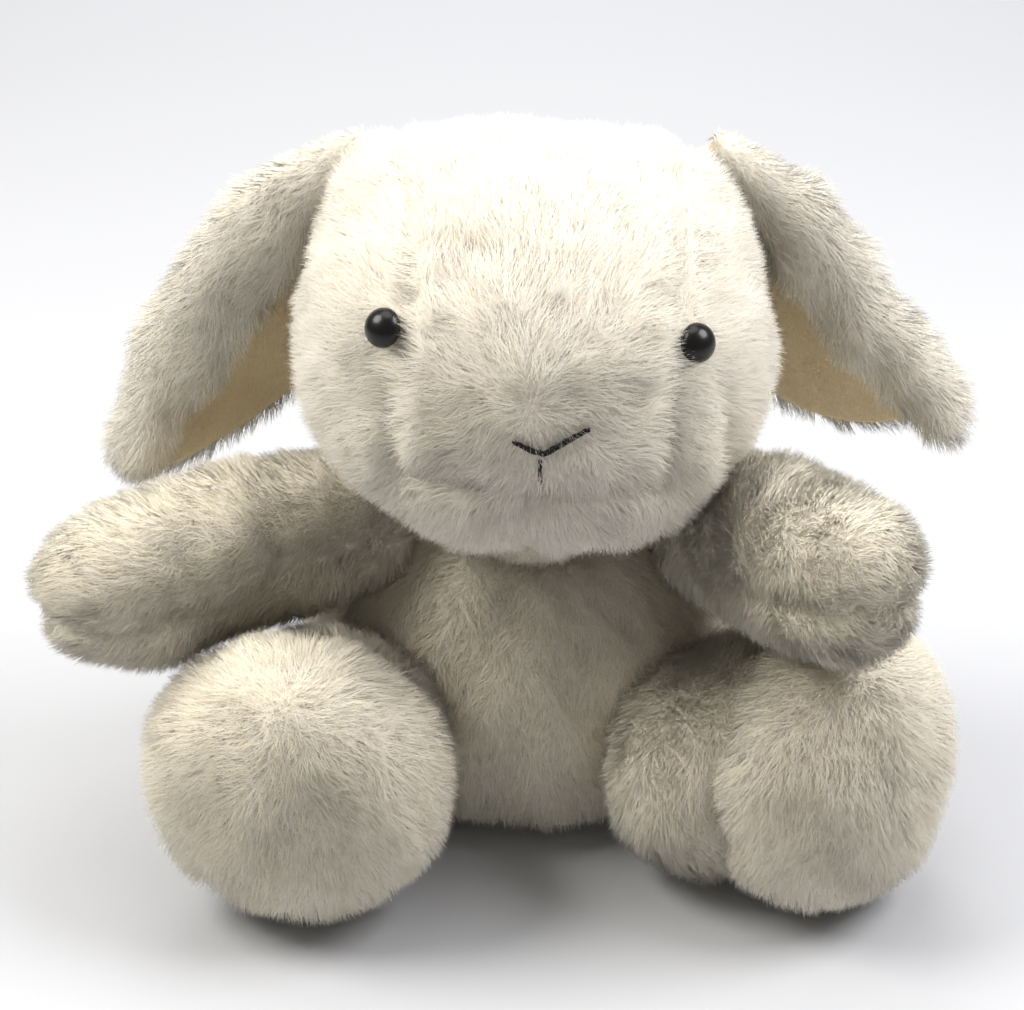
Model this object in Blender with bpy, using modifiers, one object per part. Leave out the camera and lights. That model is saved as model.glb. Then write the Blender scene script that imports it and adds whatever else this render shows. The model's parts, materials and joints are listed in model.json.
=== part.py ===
"""A seated plush rabbit with lop ears, about 235 mm tall over its fur.

Metres, +Z up. The origin is the middle of the flat seat, the rabbit faces -Y, and its own
right side is at -X. Every fabric panel is a shell that is open where it is sewn on, and the
filling inside it is a solid of its own.
"""

import math

import bmesh
import bpy
from mathutils import Matrix, Vector
from mathutils.bvhtree import BVHTree

# ---------------------------------------------------------------- driving dimensions
PLUSH = 0.0024  # backing cloth with its pressed pile
LINING = 0.0014  # short smooth cloth inside the ears
GAP = 0.0004  # between pieces that touch
SEAM = 0.0018  # between two panels that are sewn together
MOTION_ROOM = 0.0019  # between a limb and the hollow it moves in
FILL_INSET = PLUSH + GAP + 0.0006  # a filling is its cover's form, drawn in by this

HEAD_CENTRE = Vector((0.0, -0.027, 0.166))
HEAD_ROLL = math.radians(3.0)  # the head leans towards its left side
HEAD_TAPER = 0.14  # the cheeks are wider than the crown
HEAD_SQUARE = 0.82  # below 1, the upper half of its sections is squarer than an ellipse
FOREHEAD_HALF = 0.038  # half the width of the panel over the forehead and crown
MUZZLE_SEAM_DROP = 0.020  # the forehead panel ends this far below the head's centre

NECK_CENTRE = Vector((0.0, -0.016, 0.105))
NECK_RADIUS = 0.027

BODY_TOP = 0.103
SIDE_SEAM_Y = -0.008  # front and back body panels meet here
BASE_SEAM_Z = 0.007
PELLET_BAG_TOP = 0.024

SHOULDER = Vector((0.050, -0.013, 0.093))  # on the rabbit's left; the right one mirrors it
PAW_RIGHT = Vector((-0.127, -0.061, 0.093))
PAW_LEFT = Vector((0.089, -0.096, 0.1155))
ARM_ROOT_RADIUS = 0.0195
PAW_RADIUS = 0.0248

HIP = Vector((0.051, -0.027, 0.036))
SHANK_RIGHT = Vector((-0.067, -0.066, 0.040))
SHANK_LEFT = Vector((0.053, -0.071, 0.035))
FOOT_RIGHT = Vector((-0.0715, -0.086, 0.0465))
FOOT_LEFT = Vector((0.0905, -0.076, 0.0444))
SOLE_FACES_RIGHT = Vector((-0.22, -0.96, 0.14))
SOLE_FACES_LEFT = Vector((0.83, -0.54, 0.10))
LEG_ROOT_RADIUS = 0.0243
SHANK_RADIUS = 0.0312
FOOT_HALF_WIDTH = 0.0472
FOOT_HALF_HEIGHT = 0.0443
FOOT_HALF_DEPTH = 0.032

EAR_THICKNESS = 0.0045
EAR_FOLD_RADIUS = 0.013  # at the ridge that the ear folds over
EAR_TURN = math.radians(88)  # how far it turns down on each side of the ridge
EAR_LAYER_GAP = 0.0007  # between an ear's cloth and its lining
EAR_CLEAR_OF_HEAD = 0.0102  # from the head to an ear's outer face

EYE_RADIUS = 0.006
EYE_SPREAD = 0.0435
EYE_RISE = 0.019
SHANK_OF_EYE_RADIUS = 0.0019
SHANK_OF_EYE_LENGTH = 0.012
WASHER_RADIUS = 0.0065
THREAD_RADIUS = 0.0009

TAIL_RADIUS = 0.020
TAIL_HEIGHT = 0.036
TAIL_OPEN = 0.003  # its skin begins this far out, where it is sewn to the back

# how far the limbs swing, in degrees, with the hollows in the body cut for the whole way
ARM_SWING_RIGHT = (-10, 5, 20, 35)
ARM_SWING_LEFT = (0, 13, 26, 38)
LEG_SWING = (0, 6, 12)

CREAM = (0.86, 0.81, 0.71)
GOLDEN_BEIGE = (0.72, 0.56, 0.36)
FILL_WHITE = (0.93, 0.93, 0.92)

# ---------------------------------------------------------------- scene and materials
for old in list(bpy.data.objects):
    bpy.data.objects.remove(old, do_unlink=True)

rabbit = bpy.data.collections.new("stuffed_rabbit")
bpy.context.scene.collection.children.link(rabbit)
guides = bpy.data.collections.new("cutters_and_guides")
bpy.context.scene.collection.children.link(guides)


def material(name, colour, roughness, metallic=0.0):
    made = bpy.data.materials.new(name)
    made.use_nodes = True
    shader = made.node_tree.nodes["Principled BSDF"]
    shader.inputs["Base Color"].default_value = (*colour, 1)
    shader.inputs["Roughness"].default_value = roughness
    shader.inputs["Metallic"].default_value = metallic
    made.diffuse_color = (*colour, 1)
    return made


def add(name, mesh, colour, roughness, collection=rabbit):
    """Puts a mesh in the scene as an object with a material of its own."""
    made = bpy.data.objects.new(name, mesh)
    collection.objects.link(made)
    if collection is rabbit:
        made.data.materials.clear()
        made.data.materials.append(material(name, colour, roughness))
        made.data.shade_smooth()
    else:
        made.hide_render = True
        made.display_type = "WIRE"
    return made


# ---------------------------------------------------------------- soft forms
def frame(origin, along, up):
    """A matrix whose Z runs along a form, and whose Y is as near as it can be to up."""
    z = Vector(along).normalized()
    x = Vector(up).cross(z).normalized()
    y = z.cross(x)
    return Matrix.Translation(origin) @ Matrix((x, y, z)).transposed().to_4x4()


def evaluated(obj):
    """The object's mesh with its modifiers applied, in world space; the object goes."""
    bpy.context.view_layer.update()
    graph = bpy.context.evaluated_depsgraph_get()
    mesh = bpy.data.meshes.new_from_object(obj.evaluated_get(graph))
    mesh.transform(obj.matrix_world)
    bpy.data.objects.remove(obj, do_unlink=True)
    return mesh


def eased(stations, columns):
    """The stations where smoothing would leave them, for a form that stays coarse."""
    rows = [Vector(row) for row in stations]
    pull = 14 / (3 * (columns + 5))
    middle = [(a + 4 * b + c) / 6 for a, b, c in zip(rows, rows[1:], rows[2:])]
    return [rows[0].lerp(rows[1], pull)] + middle + [rows[-1].lerp(rows[-2], pull)]


def soft_form(place, stations, inset=0.0, columns=8, taper=0.0, smooth=True, square=1.0):
    """A closed soft form: rings of (t, half width, half height, rise) along place's Z.

    The first and last stations are the two ends, on the axis. inset draws the whole form
    inwards, and a negative one lets it out. The rings are a coarse cage that is smoothed. A
    filling or a cutter stays coarse, with its rings where smoothing would leave them.
    """
    if not smooth:
        stations = eased(stations, columns)
    start, end = stations[0][0], stations[-1][0]
    squeeze = (end - start - 2 * inset) / (end - start)
    step = 2 * math.pi / columns
    # smoothing a ring shrinks it by this much
    swell = 3 / (2 + math.cos(step)) if smooth else 1
    cage = bmesh.new()
    rings = []
    for t, wide, high, rise in stations[1:-1]:
        z = start + inset + (t - start) * squeeze
        ring = []
        for k in range(columns):
            turn = (k + 0.5) * step
            across, upward = math.cos(turn), math.sin(turn)
            if upward > 0:
                across, upward = math.copysign(abs(across) ** square, across), upward**square
            x = (wide - inset) * swell * across * (1 - taper * upward)
            y = (high - inset) * swell * upward + rise
            ring.append(cage.verts.new((x, y, z)))
        rings.append(ring)
    first = cage.verts.new((0, stations[0][3], start + inset))
    last = cage.verts.new((0, stations[-1][3], end - inset))
    for k in range(columns):
        n = (k + 1) % columns
        cage.faces.new((first, rings[0][n], rings[0][k]))
        cage.faces.new((last, rings[-1][k], rings[-1][n]))
        for low, high in zip(rings, rings[1:]):
            cage.faces.new((low[k], low[n], high[n], high[k]))
    mesh = bpy.data.meshes.new("form")
    cage.to_mesh(mesh)
    cage.free()
    obj = add("form", mesh, None, None, guides)
    obj.matrix_world = place
    if smooth:
        soft = obj.modifiers.new("Soft", "SUBSURF")
        soft.levels = soft.render_levels = 1
    return evaluated(obj)


def joined(first, second):
    """The union of two closed meshes."""
    obj = add("first", first, None, None, guides)
    other = add("second", second, None, None, guides)
    union = obj.modifiers.new("Join", "BOOLEAN")
    union.operation = "UNION"
    union.object = other
    mesh = evaluated(obj)
    bpy.data.objects.remove(other, do_unlink=True)
    return mesh


def sliced(mesh, planes, keep, fill=False):
    """Cuts a mesh along (point, normal) planes and keeps the faces whose middle passes keep.

    fill closes each opening that the cuts leave with one flat face.
    """
    work = bmesh.new()
    work.from_mesh(mesh)
    for point, normal in planes:
        parts = work.verts[:] + work.edges[:] + work.faces[:]
        bmesh.ops.bisect_plane(work, geom=parts, plane_co=point, plane_no=normal)
    lost = [f for f in work.faces if not keep(f.calc_center_median())]
    bmesh.ops.delete(work, geom=lost, context="FACES")
    if fill:
        rim = [e for e in work.edges if e.is_boundary]
        bmesh.ops.holes_fill(work, edges=rim, sides=0)
    cut = bpy.data.meshes.new("cut")
    work.to_mesh(cut)
    work.free()
    return cut


def panel(name, surface, planes, keep, colour=CREAM, thickness=PLUSH):
    """A fabric panel: a stretch of a form's surface, with the cloth's thickness inwards."""
    obj = add(name, sliced(surface, planes, keep), colour, 0.95)
    shell = obj.modifiers.new("Cloth", "SOLIDIFY")
    shell.thickness = thickness
    shell.offset = -1
    return obj


def filling(name, mesh):
    return add(name, mesh, FILL_WHITE, 1.0)


def cut_out(obj, cutter):
    """Takes a cutter object, or every object of a collection, out of obj."""
    hole = obj.modifiers.new("Room", "BOOLEAN")
    hole.operation = "DIFFERENCE"
    if isinstance(cutter, bpy.types.Collection):
        hole.operand_type = "COLLECTION"
        hole.collection = cutter
    else:
        hole.object = cutter


def ball(name, centre, radius, collection, colour=FILL_WHITE):
    work = bmesh.new()
    bmesh.ops.create_uvsphere(work, u_segments=16, v_segments=10, radius=radius)
    mesh = bpy.data.meshes.new(name)
    work.to_mesh(mesh)
    work.free()
    obj = add(name, mesh, colour, 1.0, collection)
    obj.location = centre
    return obj


def cylinder(name, place, radius, low, high):
    """A cutter along place's Z, from low to high."""
    work = bmesh.new()
    bmesh.ops.create_cone(
        work, cap_ends=True, segments=16, radius1=radius, radius2=radius, depth=high - low
    )
    bmesh.ops.translate(work, verts=work.verts, vec=(0, 0, (high + low) / 2))
    mesh = bpy.data.meshes.new(name)
    work.to_mesh(mesh)
    work.free()
    obj = add(name, mesh, None, None, guides)
    obj.matrix_world = place
    return obj


def turned(name, profile, place, colour, roughness, steps=14):
    """A turned piece: (radius, height) points, from the top of its outer side to the bottom."""
    mesh = bpy.data.meshes.new(name)
    edges = [(i, i + 1) for i in range(len(profile) - 1)]
    closed = profile[0][0] > 0
    if closed:
        edges.append((len(profile) - 1, 0))
    mesh.from_pydata([(r, 0, z) for r, z in profile], edges, [])
    obj = add(name, mesh, colour, roughness)
    obj.matrix_world = place
    screw = obj.modifiers.new("Turn", "SCREW")
    screw.steps = screw.render_steps = steps
    screw.use_merge_vertices = True
    screw.merge_threshold = 0.00001
    return obj


# ---------------------------------------------------------------- head
head_place = frame(HEAD_CENTRE, (0, -1, 0), (0, 0, 1)) @ Matrix.Rotation(-HEAD_ROLL, 4, "Z")
HEAD_STATIONS = (
    (-0.064, 0, 0, 0.004),
    (-0.056, 0.0335, 0.0265, 0.005),
    (-0.038, 0.0575, 0.0450, 0.004),
    (-0.012, 0.0720, 0.0560, 0.001),
    (0.020, 0.0720, 0.0560, -0.001),
    (0.043, 0.0600, 0.0450, -0.007),
    (0.060, 0.0395, 0.0285, -0.012),
    (0.068, 0, 0, -0.013),
)


def head_form(inset, smooth):
    return soft_form(head_place, HEAD_STATIONS, inset, 10, HEAD_TAPER, smooth, HEAD_SQUARE)


head_surface = head_form(0, True)
to_head = head_place.inverted()
head_x = head_place.to_3x3().col[0]
head_up = head_place.to_3x3().col[1]
muzzle_seam = head_place @ Vector((0, -MUZZLE_SEAM_DROP, 0))
half_seam = SEAM / 2

forehead_planes = [
    (head_place @ Vector((side * (FOREHEAD_HALF - half_seam), 0, 0)), head_x) for side in (-1, 1)
] + [(muzzle_seam + head_up * half_seam, head_up)]
cheek_planes = [
    (head_place @ Vector((side * (FOREHEAD_HALF + half_seam), 0, 0)), head_x) for side in (-1, 1)
] + [(muzzle_seam - head_up * half_seam, head_up)]


def on_forehead(point):
    p = to_head @ point
    return abs(p.x) < FOREHEAD_HALF - half_seam and p.y > half_seam - MUZZLE_SEAM_DROP


def on_cheek(point, side):
    p = to_head @ point
    if p.x * side < half_seam:
        return False
    return p.x * side > FOREHEAD_HALF + half_seam or p.y < -MUZZLE_SEAM_DROP - half_seam


neck_room = ball("neck_room", NECK_CENTRE, NECK_RADIUS + MOTION_ROOM, guides)
head_panels = [panel("head_forehead_panel", head_surface, forehead_planes, on_forehead)]
for side, word in ((-1, "right"), (1, "left")):
    middle = (head_place @ Vector((side * half_seam, 0, 0)), head_x)
    head_panels.append(
        panel(
            f"head_cheek_panel_{word}",
            head_surface,
            cheek_planes + [middle],
            lambda p, side=side: on_cheek(p, side),
        )
    )
head_filling = filling("head_stuffing", head_form(FILL_INSET, False))
for piece in head_panels + [head_filling]:
    cut_out(piece, neck_room)

work = bmesh.new()
work.from_mesh(head_surface)
head_tree = BVHTree.FromBMesh(work)
work.free()


def on_face(across, rise):
    """The point of the face at this place, and the way the surface faces there."""
    start = head_place @ Vector((across, rise, 0.2))
    point, normal, _, _ = head_tree.ray_cast(start, -head_place.to_3x3().col[2])
    return point, normal


# ---------------------------------------------------------------- eyes
EYE_LIFT = 0.0012  # the rim stands off the cloth, whose surface curves away from it
dome = [
    (EYE_RADIUS * math.sin(a), 0.0046 * math.cos(a))
    for a in (math.radians(15 * k) for k in range(7))
]
eye_profile = [(0, dome[0][1])] + dome[1:] + [
    (EYE_RADIUS * 0.93, -0.0006),
    (SHANK_OF_EYE_RADIUS, -0.0006),
    (SHANK_OF_EYE_RADIUS, -SHANK_OF_EYE_LENGTH),
    (0, -SHANK_OF_EYE_LENGTH),
]
washer_top = -EYE_LIFT - PLUSH - 0.0019
washer_hole = SHANK_OF_EYE_RADIUS + 0.0003
washer_profile = [
    (washer_hole, washer_top),
    (WASHER_RADIUS, washer_top),
    (WASHER_RADIUS, washer_top - 0.0010),
    (washer_hole, washer_top - 0.0010),
]
for side, word in ((-1, "right"), (1, "left")):
    point, normal = on_face(side * EYE_SPREAD, EYE_RISE)
    place = frame(point + normal * EYE_LIFT, normal, (0, 0, 1))
    turned(f"eye_{word}", eye_profile, place, (0.012, 0.010, 0.010), 0.12)
    turned(f"eye_washer_{word}", washer_profile, place, (0.85, 0.85, 0.83), 0.5)
    hole = cylinder(f"eye_hole_{word}", place, washer_hole + 0.0003, -0.02, 0.01)
    pocket = cylinder(
        f"eye_pocket_{word}", place, WASHER_RADIUS + GAP, -SHANK_OF_EYE_LENGTH - 0.001, 0.01
    )
    for piece in head_panels:
        cut_out(piece, hole)
    cut_out(head_filling, pocket)


# ---------------------------------------------------------------- nose and mouth thread
def stitch(name, places):
    """A thread that lies on the face through (across, rise) places."""
    curve = bpy.data.curves.new(name, "CURVE")
    curve.dimensions = "3D"
    curve.bevel_depth = THREAD_RADIUS
    curve.bevel_resolution = 2
    curve.use_fill_caps = True
    spline = curve.splines.new("POLY")
    spline.points.add(len(places) - 1)
    for spot, (across, rise) in zip(spline.points, places):
        point, normal = on_face(across, rise)
        spot.co = (*(point + normal * (THREAD_RADIUS + 0.0008)), 1)
    made = bpy.data.objects.new(name, curve)
    rabbit.objects.link(made)
    curve.materials.append(material(name, (0.05, 0.045, 0.045), 0.8))


NOSE_TIP = (0.0020, -0.0075)
NOSE_LEFT_END = (0.0135, -0.0005)
NOSE_RIGHT_END = (-0.0055, -0.0040)


def between(start, end, steps):
    return [
        tuple(a + (b - a) * k / steps for a, b in zip(start, end)) for k in range(steps + 1)
    ]


stitch("nose_stitch", between(NOSE_RIGHT_END, NOSE_TIP, 3) + between(NOSE_TIP, NOSE_LEFT_END, 3)[1:])
mouth_top = (NOSE_TIP[0], NOSE_TIP[1] - 0.0030)
stitch("mouth_stitch", between(mouth_top, (0.0015, -0.0180), 3))

# ---------------------------------------------------------------- limbs
def arm_frame(paw, side):
    shoulder = Vector((side * SHOULDER.x, SHOULDER.y, SHOULDER.z))
    return frame(shoulder, paw - shoulder, (0, 0, 1)), (paw - shoulder).length


def arm_form(paw, side, inset=0.0, smooth=True, columns=6):
    place, reach = arm_frame(paw, side)
    root = ARM_ROOT_RADIUS
    stations = (
        (-root, 0, 0, 0),
        (-0.85 * root, 0.52 * root, 0.52 * root, 0),
        (-0.30 * root, 0.94 * root, 0.94 * root, 0),
        (0.45 * root, 1.04 * root, 1.02 * root, 0),
        (0.50 * reach, 0.90 * PAW_RADIUS, 0.96 * PAW_RADIUS, 0.002),
        (0.85 * reach, 1.00 * PAW_RADIUS, PAW_RADIUS, 0),
        (reach + 0.40 * PAW_RADIUS, 0.84 * PAW_RADIUS, 0.84 * PAW_RADIUS, 0),
        (reach + 0.82 * PAW_RADIUS, 0.46 * PAW_RADIUS, 0.46 * PAW_RADIUS, 0),
        (reach + 0.95 * PAW_RADIUS, 0, 0, 0),
    )
    return soft_form(place, stations, inset, columns, smooth=smooth)


def shank_form(end, side, inset=0.0, smooth=True, columns=6):
    hip = Vector((side * HIP.x, HIP.y, HIP.z))
    reach = (end - hip).length
    root, round_end = LEG_ROOT_RADIUS, SHANK_RADIUS
    stations = (
        (-root, 0, 0, 0),
        (-0.85 * root, 0.52 * root, 0.52 * root, 0),
        (-0.30 * root, 0.94 * root, 0.94 * root, 0),
        (0.45 * root, 1.06 * root, 1.04 * root, 0),
        (reach, round_end, round_end, 0),
        (reach + 0.60 * round_end, 0.76 * round_end, 0.76 * round_end, 0),
        (reach + 0.92 * round_end, 0.36 * round_end, 0.36 * round_end, 0),
        (reach + 1.00 * round_end, 0, 0, 0),
    )
    place = frame(hip, end - hip, (0, 0, 1))
    return soft_form(place, stations, inset, columns, smooth=smooth)


def foot_form(centre, faces, inset=0.0, smooth=True):
    wide, high, deep = FOOT_HALF_WIDTH, FOOT_HALF_HEIGHT, FOOT_HALF_DEPTH
    stations = (
        (-deep, 0, 0, 0),
        (-0.90 * deep, 0.50 * wide, 0.50 * high, 0),
        (-0.55 * deep, 0.86 * wide, 0.86 * high, 0),
        (0.0, wide, high, 0),
        (0.55 * deep, 0.88 * wide, 0.88 * high, 0),
        (0.90 * deep, 0.54 * wide, 0.54 * high, 0),
        (deep, 0, 0, 0),
    )
    return soft_form(frame(centre, faces, (0, 0, 1)), stations, inset, smooth=smooth)


def turned_about(mesh, pivot, axis, degrees):
    move = Matrix.Translation(pivot) @ Matrix.Rotation(math.radians(degrees), 4, axis)
    mesh.transform(move @ Matrix.Translation(-pivot))
    return mesh


def swept_room(name, form, pivot, axis, swing):
    """A cutter round every place that a limb takes as it swings: the hull of them all."""
    work = bmesh.new()
    for degrees in swing:
        work.from_mesh(turned_about(form(), pivot, axis, degrees))
    found = bmesh.ops.convex_hull(work, input=work.verts)
    spare = set(found["geom_interior"]) | set(found["geom_unused"])
    bmesh.ops.delete(work, geom=[v for v in spare if isinstance(v, bmesh.types.BMVert)])
    loose = [f for f in work.faces if f not in set(found["geom"])]
    bmesh.ops.delete(work, geom=loose, context="FACES")
    bmesh.ops.recalc_face_normals(work, faces=work.faces)
    mesh = bpy.data.meshes.new(name)
    work.to_mesh(mesh)
    work.free()
    limb_room.objects.link(add(name, mesh, None, None, guides))


limb_room = bpy.data.collections.new("limb_room")
guides.children.link(limb_room)

# The right arm lies out to the side and swings forwards, and the left one lies forwards over
# the foot and swings out to the side. Both rise as they go, about axes that lean.
ARM_AXIS_RIGHT = Vector((-0.25, 0.47, 0.85)).normalized()
ARM_AXIS_LEFT = Vector((-0.34, 0.09, 0.93)).normalized()
LEG_AXIS = Vector((0, 0, 1))

SIDES = (
    ("right", -1, PAW_RIGHT, ARM_AXIS_RIGHT, ARM_SWING_RIGHT),
    ("left", 1, PAW_LEFT, ARM_AXIS_LEFT, ARM_SWING_LEFT),
)
LEGS = {
    "right": (SHANK_RIGHT, FOOT_RIGHT, SOLE_FACES_RIGHT, 0.35),
    "left": (SHANK_LEFT, FOOT_LEFT, SOLE_FACES_LEFT, 0.50),
}
for word, side, paw, arm_axis, arm_swing in SIDES:
    place, reach = arm_frame(paw, side)
    to_arm = place.inverted()
    arm_up = place.to_3x3().col[1]
    shoulder = place.to_translation()
    surface = arm_form(paw, side)
    root_plane = (place @ Vector((0, 0, -0.8 * ARM_ROOT_RADIUS)), place.to_3x3().col[2])
    for half, sign in (("upper", 1), ("under", -1)):
        panel(
            f"arm_{half}_panel_{word}",
            surface,
            [root_plane, (shoulder + arm_up * half_seam * sign, arm_up)],
            lambda p, m=to_arm, s=sign: (m @ p).y * s > half_seam
            and (m @ p).z > -0.8 * ARM_ROOT_RADIUS,
        )
    filling(f"arm_stuffing_{word}", arm_form(paw, side, FILL_INSET, False))
    swept_room(
        f"arm_room_{word}",
        lambda paw=paw, side=side: arm_form(paw, side, -MOTION_ROOM, False, 12),
        shoulder,
        arm_axis,
        arm_swing,
    )

    shank, foot, sole_faces, sole_share = LEGS[word]
    hip = Vector((side * HIP.x, HIP.y, HIP.z))
    faces = sole_faces.normalized()
    leg = joined(shank_form(shank, side), foot_form(foot, faces))
    back_of_sole = -sole_share * FOOT_HALF_DEPTH
    leg_root = hip - (shank - hip).normalized() * 0.8 * LEG_ROOT_RADIUS
    leg_way = (shank - hip).normalized()
    panel(
        f"leg_panel_{word}",
        leg,
        [(leg_root, leg_way), (foot + faces * (back_of_sole - half_seam), faces)],
        lambda p, r=leg_root, w=leg_way, c=foot, n=faces, b=back_of_sole: (p - r).dot(w) > 0
        and (p - c).dot(n) < b - half_seam,
    )
    panel(
        f"foot_sole_panel_{word}",
        leg,
        [(foot + faces * (back_of_sole + half_seam), faces)],
        lambda p, c=foot, n=faces, b=back_of_sole: (p - c).dot(n) > b + half_seam,
    )
    filling(
        f"leg_stuffing_{word}",
        joined(
            shank_form(shank, side, FILL_INSET, False), foot_form(foot, faces, FILL_INSET, False)
        ),
    )
    swept_room(
        f"leg_room_{word}",
        lambda shank=shank, side=side: shank_form(shank, side, -MOTION_ROOM, False, 12),
        hip,
        LEG_AXIS * -side,
        LEG_SWING,
    )

# ---------------------------------------------------------------- body
ball("neck_stuffing", NECK_CENTRE, NECK_RADIUS, rabbit)
limb_room.objects.link(neck_room)
body_place = frame((0, 0, 0), (0, 0, 1), (0, 1, 0))
BODY_STATIONS = (
    (-0.004, 0, 0, -0.004),
    (-0.004, 0.0560, 0.0450, -0.004),
    (0.010, 0.0710, 0.0565, -0.006),
    (0.036, 0.0780, 0.0600, -0.005),
    (0.062, 0.0750, 0.0545, -0.002),
    (0.084, 0.0620, 0.0445, 0.000),
    (0.099, 0.0355, 0.0265, -0.004),
    (BODY_TOP, 0, 0, -0.004),
)


def body_form(inset, smooth):
    return soft_form(body_place, BODY_STATIONS, inset, 10, smooth=smooth)


# The seat is flat: the form reaches below it and is cut off there.
up, back = Vector((0, 0, 1)), Vector((0, 1, 0))
torso = sliced(body_form(0, True), [(Vector((0, 0, 0)), up)], lambda p: p.z > 0, fill=True)
above_base = (up * (BASE_SEAM_Z + half_seam), up)
front = panel(
    "body_front_panel",
    torso,
    [above_base, (back * (SIDE_SEAM_Y - half_seam), back)],
    lambda p: p.z > BASE_SEAM_Z + half_seam and p.y < SIDE_SEAM_Y - half_seam,
)
rear = panel(
    "body_back_panel",
    torso,
    [above_base, (back * (SIDE_SEAM_Y + half_seam), back)],
    lambda p: p.z > BASE_SEAM_Z + half_seam and p.y > SIDE_SEAM_Y + half_seam,
)
panel(
    "body_base_panel",
    torso,
    [(up * (BASE_SEAM_Z - half_seam), up)],
    lambda p: p.z < BASE_SEAM_Z - half_seam,
)
inside = body_form(FILL_INSET, False)
above_bag = (up * (PELLET_BAG_TOP + GAP), up)
below_bag = (up * PELLET_BAG_TOP, up)
core = filling(
    "body_stuffing",
    sliced(inside, [above_bag], lambda p: p.z > PELLET_BAG_TOP + GAP, fill=True),
)
bag_bottom = PLUSH + 2 * GAP
bag_mesh = sliced(
    inside,
    [below_bag, (up * bag_bottom, up)],
    lambda p: bag_bottom < p.z < PELLET_BAG_TOP,
    fill=True,
)
bag = add("seat_pellet_bag", bag_mesh, (0.80, 0.78, 0.72), 0.9)
for piece in (front, rear, core, bag):
    cut_out(piece, limb_room)

# ---------------------------------------------------------------- tail
TAIL_STATIONS = (
    (0.0, 0, 0, 0),
    (0.0, 0.50 * TAIL_RADIUS, 0.50 * TAIL_RADIUS, 0),
    (0.30 * TAIL_RADIUS, 0.90 * TAIL_RADIUS, 0.90 * TAIL_RADIUS, 0),
    (0.85 * TAIL_RADIUS, TAIL_RADIUS, TAIL_RADIUS, 0),
    (1.40 * TAIL_RADIUS, 0.78 * TAIL_RADIUS, 0.78 * TAIL_RADIUS, 0),
    (1.70 * TAIL_RADIUS, 0.40 * TAIL_RADIUS, 0.40 * TAIL_RADIUS, 0),
    (1.78 * TAIL_RADIUS, 0, 0, 0),
)
back_of_body = max(v.co.y for v in torso.vertices)
tail_place = frame((0, back_of_body + GAP, TAIL_HEIGHT), (0, 1, 0), (0, 0, 1))
tail_rim = Vector((0, back_of_body + TAIL_OPEN, 0))
panel(
    "tail_skin",
    soft_form(tail_place, TAIL_STATIONS, columns=6),
    [(tail_rim, back)],
    lambda p: p.y > tail_rim.y,
)
filling("tail_stuffing", soft_form(tail_place, TAIL_STATIONS, FILL_INSET, 6, smooth=False))


# ---------------------------------------------------------------- ears
def bezier(points, t):
    """The point at t of the cubic curve with these four control points."""
    a, b, c, d = points
    r = 1 - t
    return a * r**3 + b * 3 * r * r * t + c * 3 * r * t * t + d * t**3


def ear_point(ear, along, across):
    """A point of a lop ear: along 0 to 1 from root to tip, across -1 (rear) to 1 (front).

    The ear is a leaf folded over a ridge. From the ridge its front lip turns forwards and its
    rear flap hangs down. Where it would go into the head, it lies against it.
    """
    ridge, front_way, up_way, front_widths, rear_widths = ear
    reach = across * bezier(front_widths if across > 0 else rear_widths, along)
    turn = max(-EAR_TURN, min(EAR_TURN, reach / EAR_FOLD_RADIUS))
    straight = reach - turn * EAR_FOLD_RADIUS
    offset = front_way * (EAR_FOLD_RADIUS * math.sin(turn) + straight * math.cos(turn))
    drop = EAR_FOLD_RADIUS * (math.cos(turn) - 1) - straight * math.sin(turn)
    point = bezier(ridge, along) + offset + up_way * drop
    near, way, _, _ = head_tree.find_nearest(point)
    if (point - near).dot(way) < EAR_CLEAR_OF_HEAD:
        return near + way * EAR_CLEAR_OF_HEAD
    return point


def ear_sheet(name, ear, depth, thickness, colour):
    """A layer of the ear that starts at this depth below its outer face."""
    rows, lanes = 5, 4
    cage = bmesh.new()
    grid = [
        [
            cage.verts.new(ear_point(ear, r / rows, 2 * c / lanes - 1))
            for c in range(lanes + 1)
        ]
        for r in range(rows + 1)
    ]
    for r in range(rows):
        for c in range(lanes):
            cage.faces.new((grid[r][c], grid[r][c + 1], grid[r + 1][c + 1], grid[r + 1][c]))
    mesh = bpy.data.meshes.new(name)
    cage.to_mesh(mesh)
    cage.free()
    up_way = ear[2]
    if sum(f.normal.dot(up_way) * f.area for f in mesh.polygons) < 0:
        mesh.flip_normals()
    obj = add(name, mesh, colour, 0.95)
    smooth = obj.modifiers.new("Soft", "SUBSURF")
    smooth.levels = smooth.render_levels = 1
    shell = obj.modifiers.new("Cloth", "SOLIDIFY")
    shell.thickness = thickness
    shell.offset = -1 - 2 * depth / thickness
    return obj


# ridge from root to tip, the way the front lip turns, the way up from the fold, and the
# widths of the front lip and of the rear flap from root to tip
EAR_RIGHT = (
    [Vector(p) for p in ((-0.056, 0.004, 0.224), (-0.107, 0.002, 0.213),
                         (-0.125, -0.002, 0.164), (-0.131, -0.006, 0.116))],
    Vector((0.42, -0.88, 0.24)).normalized(),
    Vector((-0.50, 0.0, 0.866)),
    (0.042, 0.044, 0.036, 0.014),
    (0.065, 0.095, 0.068, 0.020),
)
EAR_LEFT = (
    [Vector(p) for p in ((0.056, 0.004, 0.227), (0.094, 0.000, 0.213),
                         (0.112, -0.006, 0.164), (0.130, -0.014, 0.139))],
    Vector((-0.10, -0.98, -0.06)).normalized(),
    Vector((0.12, -0.07, 0.99)).normalized(),
    (0.036, 0.042, 0.040, 0.016),
    (0.085, 0.110, 0.062, 0.016),
)
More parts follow.
